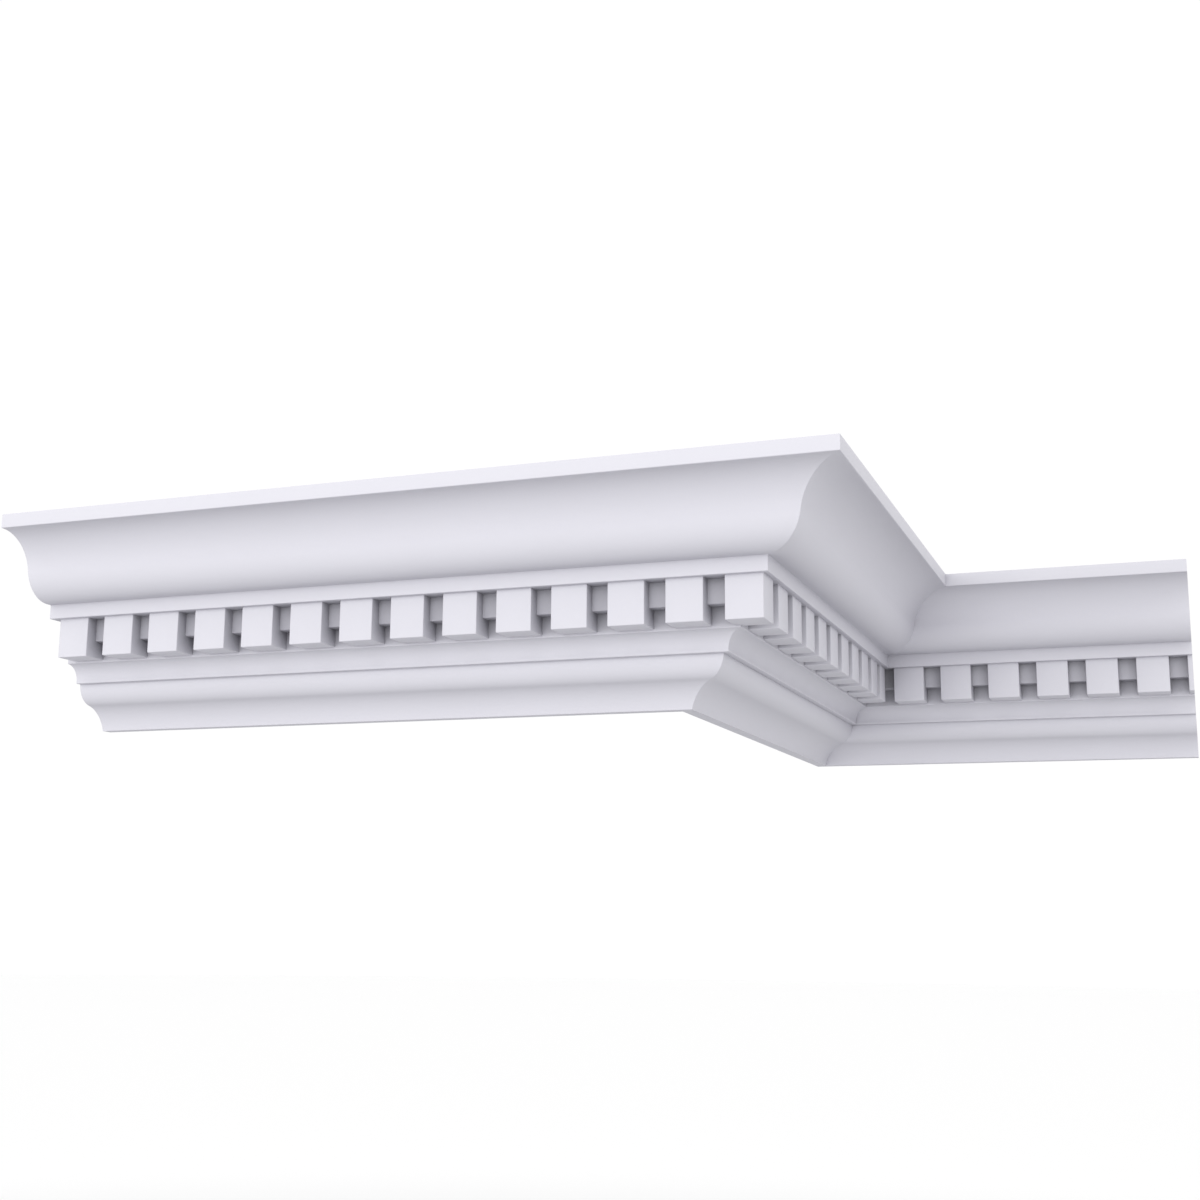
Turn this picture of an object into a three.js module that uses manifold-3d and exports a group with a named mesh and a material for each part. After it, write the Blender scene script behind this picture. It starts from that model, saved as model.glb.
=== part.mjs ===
// A dentil cornice for the angle between wall and ceiling, in moulded rigid foam with a white painted face.
// Three straight lengths share one section and are mitred together: the left length runs along the front
// wall, the return turns back round the wall's outside corner, and the right length turns off again in the
// inside corner. Millimetres, +Z up. +X runs along the front wall and +Y into it. The origin is the middle
// of the left length's flat wall face.

import * as THREE from 'three';
import { mergeVertices } from 'three/addons/utils/BufferGeometryUtils.js';
import Module from 'manifold-3d';

// Lengths along the wall, from corner to corner or to a square cut end
const LEFT_LENGTH = 494;
const RETURN_LENGTH = 438;
const RIGHT_LENGTH = 343;
const JOINT_GAP = 0.3;

// Heights of the section's members, from the bottom edge up
const OGEE_HEIGHT = 34;
const NECK_HEIGHT = 2.1;
const HOLLOW_RADIUS = 12.1;
const BAND_MARGIN = 1.5;
const DENTIL_HEIGHT = 30.5;
const FILLET_HEIGHT = 11;
const CYMA_HEIGHT = 48.2;
const FASCIA_HEIGHT = 10.6;

// How far each member stands out beyond the one below it, from the wall outwards
const FOOT_DEPTH = 9.9;
const OGEE_DEPTH = 32.6;
const STEP_DEPTH = 4.9;
const DENTIL_DEPTH = 21.6;
const FILLET_OVERHANG = 4.1;
const CYMA_LEDGE = 4.6;
const CYMA_DEPTH = 56.1;
const FASCIA_LIP = 1.8;

// The two double curves: the first arc's share of both radii, and the lean of the ogee's foot
const CYMA_SHARE = 0.56;
const OGEE_SHARE = 0.38;
const OGEE_LEAN = THREE.MathUtils.degToRad(16);

// The dentils, and the shallower bar that fills the top of the gaps between them
const DENTIL_WIDTH = 26.7;
const DENTIL_GAP = 14.94;
const BAR_HEIGHT = 17.3;
const BAR_DEPTH = 10.8;
const RIGHT_FIRST_GAP = 8;

// The back: flat against the wall and against the ceiling, with one slanted face between them
const WALL_FLAT = 45;
const CEILING_FLAT = 45;

const ARC_STEPS = 20;
const FINISH = { color: 0xe4e2ee, roughness: 0.55, metalness: 0, flatShading: true };

// Levels and projections worked out from the members
const hollowFoot = OGEE_HEIGHT + NECK_HEIGHT;
const bandFoot = hollowFoot + HOLLOW_RADIUS;
const dentilFoot = bandFoot + BAND_MARGIN;
const soffit = dentilFoot + DENTIL_HEIGHT;
const cymaFoot = soffit + FILLET_HEIGHT;
const cymaHead = cymaFoot + CYMA_HEIGHT;
const height = cymaHead + FASCIA_HEIGHT;

const ogeeFace = FOOT_DEPTH + OGEE_DEPTH;
const neckFace = ogeeFace + STEP_DEPTH;
const bandFace = neckFace + HOLLOW_RADIUS;
const dentilFace = bandFace + DENTIL_DEPTH;
const filletFace = dentilFace + FILLET_OVERHANG;
const cymaStart = filletFace + CYMA_LEDGE;
const cymaEnd = cymaStart + CYMA_DEPTH;
const projection = cymaEnd + FASCIA_LIP;

// A dentil is let into the band and the fillet by as much as the band shows below it
const dentilRoot = BAND_MARGIN;
const pitch = DENTIL_WIDTH + DENTIL_GAP;
const cornerX = LEFT_LENGTH / 2;
const bottomZ = -WALL_FLAT / 2;

const wasm = await Module();
wasm.setup();

// Points of an S-shaped curve of two arcs that meet without a kink. It sets off ahead, swings across and
// ends leaning a little off ahead. Returned as pairs [across, ahead] measured from its start.
function doubleCurve(across, ahead, share, lean) {
  const leanAhead = share + (1 - share) * Math.cos(lean);
  const leanAcross = (1 - share) * Math.sin(lean);
  const reach = Math.hypot(across, ahead);
  const aim = Math.asin((ahead * leanAhead + across * leanAcross) / reach);
  const turn = Math.PI - aim - Math.atan2(ahead, across);
  const bothRadii = ahead / (Math.sin(turn) - leanAcross);
  const firstRadius = share * bothRadii;
  const secondRadius = bothRadii - firstRadius;
  const points = [];
  for (let step = 0; step <= ARC_STEPS; step += 1) {
    const angle = (turn * step) / ARC_STEPS;
    points.push([firstRadius * (1 - Math.cos(angle)), firstRadius * Math.sin(angle)]);
  }
  const [kneeAcross, kneeAhead] = points[ARC_STEPS];
  for (let step = 1; step <= ARC_STEPS; step += 1) {
    const angle = turn + ((lean - turn) * step) / ARC_STEPS;
    points.push([
      kneeAcross + secondRadius * (Math.cos(angle) - Math.cos(turn)),
      kneeAhead + secondRadius * (Math.sin(turn) - Math.sin(angle)),
    ]);
  }
  return points;
}

// The section without its dentils, as a closed outline of [projection, level] points
function sectionOutline() {
  const outline = [
    [0, 0],
    [0, WALL_FLAT],
    [projection - CEILING_FLAT, height],
    [projection, height],
    [projection, cymaHead],
  ];
  for (const [down, inwards] of doubleCurve(CYMA_HEIGHT, CYMA_DEPTH, CYMA_SHARE, 0)) {
    outline.push([cymaEnd - inwards, cymaHead - down]);
  }
  outline.push([filletFace, cymaFoot]);
  outline.push([filletFace, soffit]);
  outline.push([bandFace + BAR_DEPTH, soffit]);
  outline.push([bandFace + BAR_DEPTH, soffit - BAR_HEIGHT]);
  outline.push([bandFace, soffit - BAR_HEIGHT]);
  for (let step = 0; step <= ARC_STEPS; step += 1) {
    const angle = (Math.PI / 2) * (step / ARC_STEPS);
    outline.push([bandFace - HOLLOW_RADIUS * Math.sin(angle), hollowFoot + HOLLOW_RADIUS * Math.cos(angle)]);
  }
  outline.push([neckFace, OGEE_HEIGHT]);
  for (const [inwards, down] of doubleCurve(OGEE_DEPTH, OGEE_HEIGHT, OGEE_SHARE, OGEE_LEAN)) {
    outline.push([ogeeFace - inwards, OGEE_HEIGHT - down]);
  }
  return outline;
}

function toSolid(geometry) {
  const bare = geometry.clone();
  bare.deleteAttribute('normal');
  bare.deleteAttribute('uv');
  const merged = mergeVertices(bare, 1e-4);
  const vertProperties = new Float32Array(merged.attributes.position.array);
  const triVerts = new Uint32Array(merged.index.array);
  return new wasm.Manifold(new wasm.Mesh({ numProp: 3, vertProperties, triVerts }));
}

function toGeometry(solid) {
  const mesh = solid.getMesh();
  const geometry = new THREE.BufferGeometry();
  geometry.setAttribute('position', new THREE.BufferAttribute(mesh.vertProperties, 3));
  geometry.setIndex(new THREE.BufferAttribute(mesh.triVerts, 1));
  geometry.computeVertexNormals();
  return geometry;
}

function extruded(points, depth) {
  const shape = new THREE.Shape(points.map(([x, y]) => new THREE.Vector2(x, y)));
  return new THREE.ExtrudeGeometry(shape, { depth, bevelEnabled: false });
}

// A straight bar of the section along +X from start to end, its back on the plane Y = 0 and its face
// towards -Y. Its dentils are set out from firstDentil, and the last one starts before dentilLimit.
function straightMoulding(start, end, firstDentil, dentilLimit) {
  const turn = new THREE.Matrix4().makeBasis(
    new THREE.Vector3(0, -1, 0),
    new THREE.Vector3(0, 0, 1),
    new THREE.Vector3(-1, 0, 0),
  );
  const bar = extruded(sectionOutline(), end - start).applyMatrix4(turn).translate(end, 0, 0);
  let solid = toSolid(bar);
  const depth = DENTIL_DEPTH + dentilRoot;
  const tall = DENTIL_HEIGHT + dentilRoot;
  for (let left = firstDentil; left < dentilLimit; left += pitch) {
    const from = Math.max(left, start);
    const to = Math.min(left + DENTIL_WIDTH, end);
    if (to > from) {
      const dentil = new THREE.BoxGeometry(to - from, depth, tall);
      dentil.translate((from + to) / 2, depth / 2 - dentilFace, dentilFoot + tall / 2);
      solid = solid.add(toSolid(dentil));
    }
  }
  return solid;
}

// Keeps what stands over a plan outline of [x, y] points
function keepOver(solid, plan) {
  const column = extruded(plan, height * 2).translate(0, 0, -height / 2);
  return solid.intersect(toSolid(column));
}

function lengthMesh(name, solid, quarterTurns, x, y) {
  const mesh = new THREE.Mesh(toGeometry(solid), new THREE.MeshStandardMaterial(FINISH));
  mesh.name = name;
  mesh.rotation.z = quarterTurns * (Math.PI / 2);
  mesh.position.set(x, y, bottomZ);
  return mesh;
}

// Half of the joint's gap, measured along the wall, comes off each mitred end
const mitreEase = (JOINT_GAP / 2) * Math.SQRT2;
const reach = projection * 1.5;

// The left length ends at the outside corner, X = 0, where its mitre leans outwards. The dentil on the
// corner is flush with the return's dentils, and the rest are set out from it.
function leftLength() {
  const last = dentilFace - DENTIL_WIDTH;
  const count = Math.ceil((LEFT_LENGTH + last) / pitch);
  const solid = straightMoulding(-LEFT_LENGTH, reach, last - count * pitch, dentilFace);
  return keepOver(solid, [
    [-LEFT_LENGTH * 2, reach],
    [-LEFT_LENGTH * 2, -reach],
    [reach - mitreEase, -reach],
    [-reach - mitreEase, reach],
  ]);
}

// The return starts at the outside corner and ends in the inside corner, at X = RETURN_LENGTH. Its
// dentils are set out from the corner one, and the last is cut by the mitre.
function returnLength() {
  const facingRun = RETURN_LENGTH - dentilFace;
  const solid = straightMoulding(-reach, RETURN_LENGTH + reach, -dentilFace, facingRun);
  return keepOver(solid, [
    [-reach + mitreEase, -reach],
    [RETURN_LENGTH - reach - mitreEase, -reach],
    [RETURN_LENGTH + reach - mitreEase, reach],
    [reach + mitreEase, reach],
  ]);
}

// The right length starts in the inside corner, X = 0, with a narrow gap beside the return's dentils
function rightLength() {
  const first = dentilFace + RIGHT_FIRST_GAP;
  const solid = straightMoulding(-reach, RIGHT_LENGTH, first, RIGHT_LENGTH);
  return keepOver(solid, [
    [reach + mitreEase, -reach],
    [RIGHT_LENGTH * 2, -reach],
    [RIGHT_LENGTH * 2, reach],
    [-reach + mitreEase, reach],
  ]);
}

const cornice = new THREE.Group();
cornice.add(lengthMesh('left_length', leftLength(), 0, cornerX, 0));
cornice.add(lengthMesh('return_length', returnLength(), 1, cornerX, 0));
cornice.add(lengthMesh('right_length', rightLength(), 0, cornerX, RETURN_LENGTH));

export default cornice;
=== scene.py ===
"""A white dentil cornice of moulded foam in three mitred lengths, with its painted, sawn and back faces."""

import math

import bmesh
import bpy
from mathutils import Matrix, Vector


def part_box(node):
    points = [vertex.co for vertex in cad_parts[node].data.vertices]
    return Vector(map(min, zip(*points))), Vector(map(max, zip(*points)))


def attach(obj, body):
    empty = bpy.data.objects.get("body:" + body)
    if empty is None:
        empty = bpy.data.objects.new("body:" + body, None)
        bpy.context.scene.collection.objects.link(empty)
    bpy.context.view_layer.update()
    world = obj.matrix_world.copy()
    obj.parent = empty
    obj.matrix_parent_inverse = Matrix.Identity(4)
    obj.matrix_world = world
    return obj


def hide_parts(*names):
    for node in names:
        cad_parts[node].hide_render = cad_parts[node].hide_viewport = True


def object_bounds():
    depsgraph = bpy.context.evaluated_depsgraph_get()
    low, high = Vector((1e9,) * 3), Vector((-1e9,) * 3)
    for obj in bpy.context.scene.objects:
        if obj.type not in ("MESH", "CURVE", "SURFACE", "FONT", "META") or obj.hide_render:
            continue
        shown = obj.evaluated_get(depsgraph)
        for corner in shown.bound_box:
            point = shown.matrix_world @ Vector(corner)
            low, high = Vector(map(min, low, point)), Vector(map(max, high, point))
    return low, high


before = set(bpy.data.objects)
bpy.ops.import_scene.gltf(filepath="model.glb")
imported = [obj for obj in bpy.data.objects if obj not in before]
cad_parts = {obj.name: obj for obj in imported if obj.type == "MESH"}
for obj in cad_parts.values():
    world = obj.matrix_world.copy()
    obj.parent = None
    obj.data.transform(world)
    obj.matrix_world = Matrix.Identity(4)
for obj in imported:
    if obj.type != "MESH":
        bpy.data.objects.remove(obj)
cad_low, cad_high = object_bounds()
MM = 0.001
left_low, left_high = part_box("left_length")
return_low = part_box("return_length")[0]
right_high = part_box("right_length")[1]

# Run of the walls, from the solids' boxes
height = left_high.z - left_low.z
projection = -left_low.y
corner_x = return_low.x
inside_y = right_high.y
left_run = corner_x - left_low.x
return_run = inside_y
right_run = right_high.x - corner_x

# Heights of the section's members, from the bottom edge up
ogee_height = 34 * MM
neck_height = 2.1 * MM
hollow_radius = 12.1 * MM
band_margin = 1.5 * MM
dentil_height = 30.5 * MM
fillet_height = 11 * MM
cyma_height = 48.2 * MM

# How far the members stand out beyond each other
foot_depth = 9.9 * MM
ogee_depth = 32.6 * MM
step_depth = 4.9 * MM
dentil_depth = 21.6 * MM
fillet_overhang = 4.1 * MM
cyma_ledge = 4.6 * MM
cyma_depth = 56.1 * MM

# The first arc's share of both radii in the two double curves, and the lean of the ogee's foot
cyma_share = 0.56
ogee_share = 0.38
ogee_lean = math.radians(16)

# Dentils, the bar between them, and the back
dentil_width = 26.7 * MM
dentil_gap = 14.94 * MM
bar_height = 17.3 * MM
bar_depth = 10.8 * MM
right_first_gap = 8 * MM
wall_flat = 45 * MM
ceiling_flat = 45 * MM

# Softness of the moulded arrises under their paint, and the steps of round stretches
arris = 0.7 * MM
arris_steps = 3
curve_steps = 30
sharp_from = math.radians(25)

# A corner this close to a saw cut counts as lying on it
cut_tolerance = 1e-7

# The parts of a face's unit normal that tell the back from the front and the cuts
back_at_least = 0.3
aside_at_most = 0.1
up_at_least = 0.9

# Levels and projections worked out from the members
hollow_foot = ogee_height + neck_height
band_foot = hollow_foot + hollow_radius
dentil_foot = band_foot + band_margin
soffit = dentil_foot + dentil_height
cyma_foot = soffit + fillet_height
cyma_head = cyma_foot + cyma_height
ogee_face = foot_depth + ogee_depth
neck_face = ogee_face + step_depth
band_face = neck_face + hollow_radius
dentil_face = band_face + dentil_depth
fillet_face = dentil_face + fillet_overhang
cyma_end = fillet_face + cyma_ledge + cyma_depth
pitch = dentil_width + dentil_gap

# A dentil is let into the band and the fillet by as much as the band shows below it
dentil_root = band_margin

# The floor lies well below the camera. It is grey as far as grey_reach and white from white_reach on
floor_drop = 1.6
floor_radius = 40
floor_sides = 96
grey_reach = 3.5
white_reach = 9.0

# Lights
light_distance = 6
softbox_side = 3
room_strength = 1.01

# Material slots of a length
PAINT, FOAM, BACK = range(3)


def linear(colour):
    """Turns an sRGB hex colour such as #E4E2EE into a linear RGBA."""
    channels = [int(colour[i:i + 2], 16) / 255 for i in (1, 3, 5)]
    return [c / 12.92 if c <= 0.04045 else ((c + 0.055) / 1.055) ** 2.4 for c in channels] + [1.0]


def node(tree, kind, sockets=None, **settings):
    """Adds a node. sockets maps an input's name or number to a value or to another node's output."""
    made = tree.nodes.new(kind)
    for name, value in settings.items():
        setattr(made, name, value)
    for name, value in (sockets or {}).items():
        if isinstance(value, bpy.types.NodeSocket):
            tree.links.new(value, made.inputs[name])
        else:
            made.inputs[name].default_value = value
    return made


def point(depth, level):
    """A point of the section, in the plane X = 0: depth is its projection from the wall."""
    return Vector((0.0, -depth, level))


class Pen:
    """Draws the section's outline as a wire, one vertex or arc after the other."""

    def __init__(self, bm):
        self.bm = bm
        self.first = self.last = None
        self.arrises = []

    def to(self, depth, level, soft=False):
        """A straight line to a point, whose arris is rounded later if it is soft."""
        vert = self.bm.verts.new(point(depth, level))
        if self.last:
            self.bm.edges.new((self.last, vert))
        self.first = self.first or vert
        self.last = vert
        if soft:
            self.arrises.append(vert)

    def bow(self, centre, angle):
        """An arc about a centre."""
        swept = bmesh.ops.spin(
            self.bm, geom=[self.last], cent=centre, axis=(1, 0, 0), angle=angle, steps=curve_steps,
        )
        self.last = next(v for v in swept["geom_last"] if isinstance(v, bmesh.types.BMVert))

    def double_curve(self, across, ahead, share, lean, first_centre_side, sense):
        """Two arcs that meet without a kink: ahead, then across, ending lean off ahead.

        first_centre_side points from the start to the first arc's centre, and sense is that arc's way round.
        """
        lean_ahead = share + (1 - share) * math.cos(lean)
        lean_across = (1 - share) * math.sin(lean)
        aim = math.asin((ahead * lean_ahead + across * lean_across) / math.hypot(across, ahead))
        turn = math.pi - aim - math.atan2(ahead, across)
        both_radii = ahead / (math.sin(turn) - lean_across)
        first = self.last.co + first_centre_side * (share * both_radii)
        self.bow(first, sense * turn)
        second = first + (self.last.co - first) / share
        self.bow(second, sense * (lean - turn))

    def close(self):
        """A straight line back to the start."""
        self.bm.edges.new((self.last, self.first))


def draw_section(bm):
    """The section without dentils, as one face whose arrises are rounded."""
    pen = Pen(bm)
    pen.to(0, 0)
    pen.to(0, wall_flat)
    pen.to(projection - ceiling_flat, height)
    pen.to(projection, height)
    pen.to(projection, cyma_head, soft=True)
    pen.to(cyma_end, cyma_head)
    pen.double_curve(cyma_height, cyma_depth, cyma_share, 0, Vector((0, 0, -1)), -1)
    pen.to(fillet_face, cyma_foot, soft=True)
    pen.to(fillet_face, soffit, soft=True)
    pen.to(band_face + bar_depth, soffit)
    pen.to(band_face + bar_depth, soffit - bar_height, soft=True)
    pen.to(band_face, soffit - bar_height)
    pen.to(band_face, band_foot, soft=True)
    pen.bow(point(band_face, hollow_foot), -math.pi / 2)
    pen.to(neck_face, ogee_height, soft=True)
    pen.to(ogee_face, ogee_height)
    pen.double_curve(ogee_depth, ogee_height, ogee_share, ogee_lean, Vector((0, 1, 0)), 1)
    pen.close()
    bmesh.ops.contextual_create(bm, geom=bm.edges[:])
    bmesh.ops.bevel(
        bm, geom=pen.arrises, offset=arris, offset_type="OFFSET", segments=arris_steps,
        profile=0.5, affect="VERTICES", material=-1,
    )


def object_from(bm, name):
    """Turns a bmesh into an object at the origin and frees it."""
    mesh = bpy.data.meshes.new(name)
    bm.to_mesh(mesh)
    bm.free()
    made = bpy.data.objects.new(name, mesh)
    bpy.context.scene.collection.objects.link(made)
    return made


def put_in_order(bm):
    """Sorts edges and faces by their corners, because extruding leaves them in another order on each run."""
    bm.verts.index_update()
    count = len(bm.verts)
    for elements in (bm.edges, bm.faces):
        elements.sort(key=lambda e: min(v.index for v in e.verts) * count + max(v.index for v in e.verts))


def bar_object(start, end):
    """A plain bar of the section from X = start to X = end."""
    bm = bmesh.new()
    draw_section(bm)
    grown = bmesh.ops.extrude_face_region(bm, geom=bm.faces[:])["geom"]
    tip = [v for v in grown if isinstance(v, bmesh.types.BMVert)]
    bmesh.ops.translate(bm, verts=tip, vec=(end - start, 0, 0))
    bmesh.ops.translate(bm, verts=bm.verts[:], vec=(start, 0, 0))
    put_in_order(bm)
    bmesh.ops.recalc_face_normals(bm, faces=bm.faces[:])
    return object_from(bm, "bar")


def starts_between(first, limit, low):
    """Where the dentils start, at the pitch from first on, that end after low and start before limit."""
    count = math.ceil((limit - first) / pitch)
    places = [first + pitch * i for i in range(count)]
    return [x for x in places if x + dentil_width > low]


def is_seen(edge, middle):
    """True for a dentil's edges that are not let into the band or the fillet."""
    offset = (edge.verts[0].co + edge.verts[1].co) / 2 - middle
    return offset.y < dentil_depth / 4 and offset.z < dentil_height / 4


def dentils_object(starts):
    """Dentils with soft front and bottom arrises, let a little into the band and the fillet."""
    bm = bmesh.new()
    deep = dentil_depth + dentil_root
    tall = dentil_height + dentil_root
    size = Matrix.Diagonal((dentil_width, deep, tall, 1))
    for start in starts:
        middle = Vector((start + dentil_width / 2, deep / 2 - dentil_face, dentil_foot + tall / 2))
        block = bmesh.ops.create_cube(bm, size=1, matrix=Matrix.Translation(middle) @ size)
        edges = dict.fromkeys(edge for vert in block["verts"] for edge in vert.link_edges)
        seen = [edge for edge in edges if is_seen(edge, middle)]
        bmesh.ops.bevel(
            bm, geom=seen, offset=arris, offset_type="OFFSET", segments=arris_steps,
            profile=0.5, affect="EDGES", material=-1,
        )
    return object_from(bm, "dentils")


def joined(base, tool):
    """The union of two closed objects, as a new bmesh. Both objects are removed."""
    union = base.modifiers.new("union", "BOOLEAN")
    union.operation = "UNION"
    union.solver = "EXACT"
    union.object = tool
    bpy.context.view_layer.update()
    evaluated = base.evaluated_get(bpy.context.evaluated_depsgraph_get())
    bm = bmesh.new()
    bm.from_mesh(evaluated.to_mesh())
    for used in (base, tool):
        mesh = used.data
        bpy.data.objects.remove(used)
        bpy.data.meshes.remove(mesh)
    return bm


def cut_off(bm, where, away, slot):
    """Saws off what lies on the away side of a plane and closes the cut with a face in a slot."""
    everything = bm.verts[:] + bm.edges[:] + bm.faces[:]
    bmesh.ops.bisect_plane(
        bm, geom=everything, dist=cut_tolerance, plane_co=where, plane_no=away, clear_outer=True,
    )
    rim = [edge for edge in bm.edges if edge.is_boundary]
    for cap in bmesh.ops.contextual_create(bm, geom=rim)["faces"]:
        cap.material_index = slot


def faces_back(face):
    """True for the faces against the wall and the ceiling and the slant between them."""
    to_wall = face.normal.y > back_at_least and abs(face.normal.x) < aside_at_most
    return to_wall or face.normal.z > up_at_least


def moulding(name, node_name, start, end, starts, ends, place):
    """One length: bar, dentils, end cuts, then turned and moved to its wall.

    ends gives for each cut a point, the direction that is cut away and the slot of the cut face.
    """
    bm = joined(bar_object(start, end), dentils_object(starts))
    for where, away, slot in ends:
        cut_off(bm, where, away, slot)
    for face in bm.faces:
        if face.material_index == PAINT and faces_back(face):
            face.material_index = BACK
        face.smooth = True
    bmesh.ops.recalc_face_normals(bm, faces=bm.faces[:])
    bmesh.ops.transform(bm, matrix=place, verts=bm.verts[:])
    piece = object_from(bm, name)
    piece.data.set_sharp_from_angle(angle=sharp_from)
    for material in finishes:
        piece.data.materials.append(material)
    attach(piece, "root")
    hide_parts(node_name)


def new_material(name):
    """An empty node material, and its tree."""
    material = bpy.data.materials.new(name)
    material.use_nodes = True
    material.node_tree.nodes.clear()
    return material, material.node_tree


def primer_with_painted_shade():
    """Factory-sprayed acrylic primer on moulded polyurethane: an even lavender white, satin-matt, with a very
    fine orange peel. Painted shade darkens its colour where the surroundings close in, as between the
    dentils.
    """
    cloud_size = 90 * MM
    peel_depth = 0.03 * MM

    # Real orange peel is about 0.6 mm across, and is drawn coarser so that it shows close up
    peel_size = 1.8 * MM

    # Within this distance, what stands around a place darkens its colour with painted shade
    painted_shade_reach = 120 * MM
    painted_shade_samples = 8

    # How open a deep gap, a shaded member and an open face are, from 0 to 1
    gap, shade, clear = 0.1, 0.45, 0.95

    material, tree = new_material("acrylic_primer_with_painted_shade")
    place = node(tree, "ShaderNodeTexCoord").outputs["Object"]
    openness = node(tree, "ShaderNodeAmbientOcclusion", {"Distance": painted_shade_reach}, samples=painted_shade_samples)
    # Painted shade: the colour runs from dark stops in deep gaps and on shaded members to the primer's own
    # tone on open faces
    primer_and_painted_shade = node(tree, "ShaderNodeValToRGB", {"Fac": openness.outputs["AO"]})
    stops = primer_and_painted_shade.color_ramp.elements
    stops[0].position = gap
    stops[0].color = linear("#76757B")
    stops[1].position = clear
    stops[1].color = linear("#CCCBD2")
    stops.new(shade).color = linear("#B3B2BA")
    cloud = node(tree, "ShaderNodeTexNoise", {"Vector": place, "Scale": 1 / cloud_size, "Detail": 3})
    drift = node(tree, "ShaderNodeMapRange", {
        "Value": cloud.outputs["Fac"], "To Min": 0.985, "To Max": 1.015,
    })
    tone = node(tree, "ShaderNodeVectorMath", {
        0: primer_and_painted_shade.outputs["Color"], "Scale": drift.outputs["Result"],
    }, operation="SCALE")
    sheen = node(tree, "ShaderNodeMapRange", {"Value": cloud.outputs["Fac"], "To Min": 0.52, "To Max": 0.66})
    peel = node(tree, "ShaderNodeTexNoise", {"Vector": place, "Scale": 1 / peel_size, "Detail": 1})
    bump = node(tree, "ShaderNodeBump", {
        "Height": peel.outputs["Fac"], "Strength": 0.35, "Distance": peel_depth,
    })
    shader = node(tree, "ShaderNodeBsdfPrincipled", {
        "Base Color": tone.outputs["Vector"], "Roughness": sheen.outputs["Result"], "IOR": 1.49,
        "Normal": bump.outputs["Normal"],
    })
    node(tree, "ShaderNodeOutputMaterial", {"Surface": shader.outputs["BSDF"]})
    return material


def sawn_foam():
    """Rigid polyurethane foam cut with a fine saw: warm cream, quite dull, with closed cells and faint saw
    lines.
    """
    density_size = 22 * MM
    saw_spacing = 9 * MM
    saw_depth = 0.08 * MM
    cell_depth = 0.3 * MM

    # Real cells are about 0.3 mm across, and are drawn coarser so that they show
    cell_size = 1.5 * MM

    material, tree = new_material("sawn_polyurethane_foam")
    place = node(tree, "ShaderNodeTexCoord").outputs["Object"]
    cells = node(tree, "ShaderNodeTexVoronoi", {"Vector": place, "Scale": 1 / cell_size})
    density = node(tree, "ShaderNodeTexNoise", {"Vector": place, "Scale": 1 / density_size, "Detail": 4})
    grain = node(tree, "ShaderNodeMix", {
        "Factor": cells.outputs["Distance"], "A": linear("#C9BFA6"), "B": linear("#E6DFCB"),
    }, data_type="RGBA")
    tone = node(tree, "ShaderNodeMix", {
        "Factor": density.outputs["Fac"], "A": grain.outputs["Result"], "B": linear("#DED6C1"),
    }, data_type="RGBA")
    saw = node(tree, "ShaderNodeTexWave", {
        "Vector": place, "Scale": 1 / saw_spacing, "Distortion": 1.5, "Detail": 1,
    }, bands_direction="Z")
    lines = node(tree, "ShaderNodeBump", {
        "Height": saw.outputs["Fac"], "Strength": 0.3, "Distance": saw_depth,
    })
    pits = node(tree, "ShaderNodeBump", {
        "Height": cells.outputs["Distance"], "Strength": 0.6, "Distance": cell_depth,
        "Normal": lines.outputs["Normal"],
    })
    shader = node(tree, "ShaderNodeBsdfPrincipled", {
        "Base Color": tone.outputs["Result"], "Roughness": 0.93, "IOR": 1.45,
        "Normal": pits.outputs["Normal"],
    })
    node(tree, "ShaderNodeOutputMaterial", {"Surface": shader.outputs["BSDF"]})
    return material


def moulded_skin():
    """The foam's own skin, as a metal mould leaves it: off-white, closed, slightly waxy, with flow marks and
    a scatter of pinholes.
    """
    flow_size = 45 * MM
    flow_depth = 0.6 * MM
    hole_spacing = 14 * MM
    hole_depth = 0.5 * MM

    material, tree = new_material("moulded_polyurethane_skin")
    place = node(tree, "ShaderNodeTexCoord").outputs["Object"]
    flow = node(tree, "ShaderNodeTexNoise", {
        "Vector": place, "Scale": 1 / flow_size, "Detail": 4, "Distortion": 1.2,
    })
    skin = node(tree, "ShaderNodeMix", {
        "Factor": flow.outputs["Fac"], "A": linear("#CFCBBF"), "B": linear("#DDDAD1"),
    }, data_type="RGBA")
    spots = node(tree, "ShaderNodeTexVoronoi", {"Vector": place, "Scale": 1 / hole_spacing})
    hole = node(tree, "ShaderNodeMapRange", {
        "Value": spots.outputs["Distance"], "From Min": 0.05, "From Max": 0.09,
    })
    tone = node(tree, "ShaderNodeMix", {
        "Factor": hole.outputs["Result"], "A": linear("#A8A294"), "B": skin.outputs["Result"],
    }, data_type="RGBA")
    sheen = node(tree, "ShaderNodeMapRange", {"Value": flow.outputs["Fac"], "To Min": 0.38, "To Max": 0.6})
    pits = node(tree, "ShaderNodeBump", {
        "Height": hole.outputs["Result"], "Strength": 0.8, "Distance": hole_depth,
    })
    waves = node(tree, "ShaderNodeBump", {
        "Height": flow.outputs["Fac"], "Strength": 0.4, "Distance": flow_depth,
        "Normal": pits.outputs["Normal"],
    })
    shader = node(tree, "ShaderNodeBsdfPrincipled", {
        "Base Color": tone.outputs["Result"], "Roughness": sheen.outputs["Result"], "IOR": 1.5,
        "Normal": waves.outputs["Normal"],
    })
    node(tree, "ShaderNodeOutputMaterial", {"Surface": shader.outputs["BSDF"]})
    return material


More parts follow.
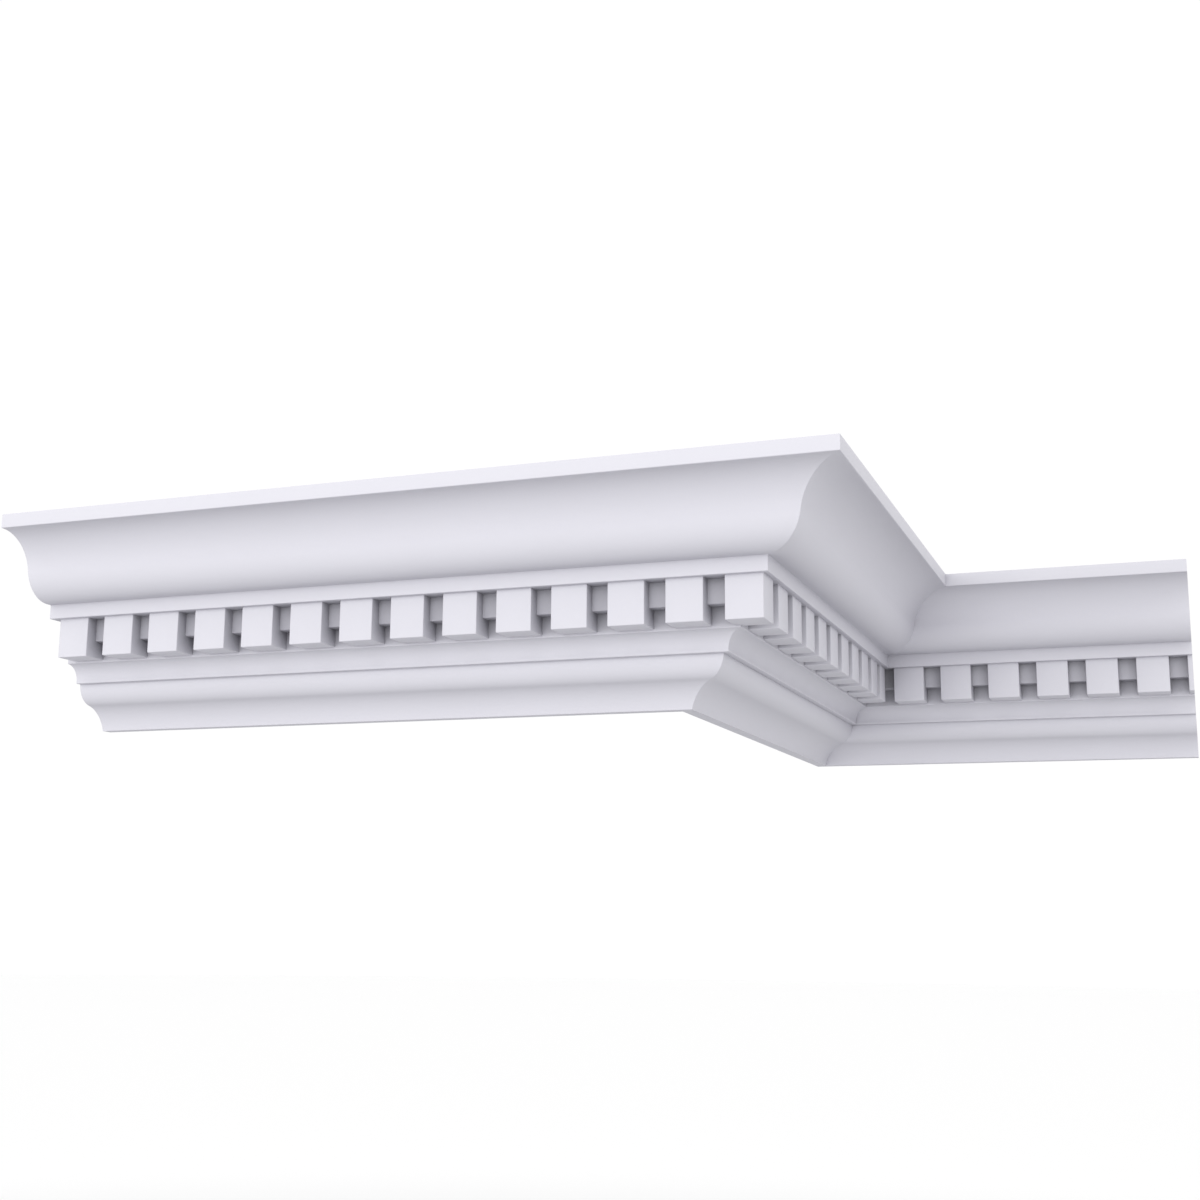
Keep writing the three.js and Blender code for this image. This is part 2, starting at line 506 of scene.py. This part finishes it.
def paper_sweep():
    """Matt studio paper, with no pattern: pale grey under the cornice, fading to white away from it."""
    material, tree = new_material("matt_paper_sweep")
    place = node(tree, "ShaderNodeTexCoord").outputs["Object"]
    away = node(tree, "ShaderNodeVectorMath", {0: place}, operation="LENGTH")
    fade = node(tree, "ShaderNodeMapRange", {
        "Value": away.outputs["Value"], "From Min": grey_reach, "From Max": white_reach,
    }, interpolation_type="SMOOTHSTEP")
    tone = node(tree, "ShaderNodeMix", {
        "Factor": fade.outputs["Result"], "A": linear("#C7C7C9"), "B": linear("#FDFDFD"),
    }, data_type="RGBA")
    shader = node(tree, "ShaderNodeBsdfPrincipled", {
        "Base Color": tone.outputs["Result"], "Roughness": 0.9, "IOR": 1.4,
    })
    node(tree, "ShaderNodeOutputMaterial", {"Surface": shader.outputs["BSDF"]})
    return material


# In the order of the material slots
finishes = [primer_with_painted_shade(), sawn_foam(), moulded_skin()]

# Each length is drawn along +X with its corner at X = 0, and longer than it is, so that its ends can be sawn
spare = projection * 1.5
corner = Vector((0, 0, 0))
to_corner = Matrix.Translation((corner_x, 0, left_low.z))
quarter_turn = Matrix.Rotation(math.pi / 2, 4, "Z")

corner_dentil = dentil_face - dentil_width
left_first = corner_dentil - pitch * math.ceil((left_run + corner_dentil) / pitch)
moulding(
    "left_moulding", "left_length", -left_run - spare, spare,
    starts_between(left_first, dentil_face, -left_run),
    [
        (Vector((-left_run, 0, 0)), Vector((-1, 0, 0)), FOAM),
        (corner, Vector((1, 1, 0)), FOAM),
    ],
    to_corner,
)

# The return's inner mitre is sealed with primer, because its cut dentil shows beside the corner
moulding(
    "return_moulding", "return_length", -spare, return_run + spare,
    starts_between(-dentil_face, return_run - dentil_face, -spare),
    [
        (corner, Vector((-1, 1, 0)), FOAM),
        (Vector((return_run, 0, 0)), Vector((1, -1, 0)), PAINT),
    ],
    to_corner @ quarter_turn,
)
moulding(
    "right_moulding", "right_length", -spare, right_run + spare,
    starts_between(dentil_face + right_first_gap, right_run, 0),
    [
        (corner, Vector((-1, -1, 0)), FOAM),
        (Vector((right_run, 0, 0)), Vector((1, 0, 0)), FOAM),
    ],
    Matrix.Translation((0, inside_y, 0)) @ to_corner,
)


def camera():
    """Stands a little under the cornice and right of its corner, and looks up and to the left."""
    data = bpy.data.cameras.new("camera")
    data.sensor_width = 36
    data.lens = 48.617
    data.shift_x = 0.0243
    data.shift_y = 0.0045
    made = bpy.data.objects.new("camera", data)
    bpy.context.scene.collection.objects.link(made)
    stand = Matrix.Translation((0.59064, -1.10602, -0.16966))
    turn = Matrix.Rotation(math.radians(21.281), 4, "Z")
    tilt = Matrix.Rotation(math.radians(90 + 10.961), 4, "X")
    roll = Matrix.Rotation(math.radians(0.667), 4, "Z")
    made.matrix_world = stand @ turn @ tilt @ roll
    bpy.context.scene.camera = made


def floor():
    """A plain pale floor well below the cornice, which fades to white away from it like a studio sweep."""
    bm = bmesh.new()
    bmesh.ops.create_circle(bm, cap_ends=True, radius=floor_radius, segments=floor_sides)
    bmesh.ops.translate(bm, verts=bm.verts[:], vec=(0, 0, -floor_drop))
    made = object_from(bm, "floor")
    made.data.materials.append(paper_sweep())


def softbox(name, bearing, power):
    """A square soft light, level with the cornice, that stands on a bearing from it and faces it."""
    data = bpy.data.lights.new(name, "AREA")
    data.shape = "SQUARE"
    data.size = softbox_side
    data.energy = power
    made = bpy.data.objects.new(name, data)
    made.visible_camera = False
    bpy.context.scene.collection.objects.link(made)
    middle = Matrix.Translation((cad_low + cad_high) / 2)
    turn = Matrix.Rotation(math.radians(bearing), 4, "Z")
    back_off = Matrix.Translation((0, -light_distance, 0))
    upright = Matrix.Rotation(math.pi / 2, 4, "X")
    made.matrix_world = middle @ turn @ back_off @ upright


def white_room():
    """Even white light from all around, which is also the white behind the cornice."""
    made = bpy.data.worlds.new("white_room")
    bpy.context.scene.world = made
    made.use_nodes = True
    back = made.node_tree.nodes["Background"]
    back.inputs["Color"].default_value = linear("#FFFFFF")
    back.inputs["Strength"].default_value = room_strength


camera()
floor()
white_room()
softbox("left_softbox", bearing=-45, power=72)
softbox("front_softbox", bearing=0, power=66)
softbox("right_softbox", bearing=45, power=73)
bpy.context.scene.view_settings.view_transform = "Standard"
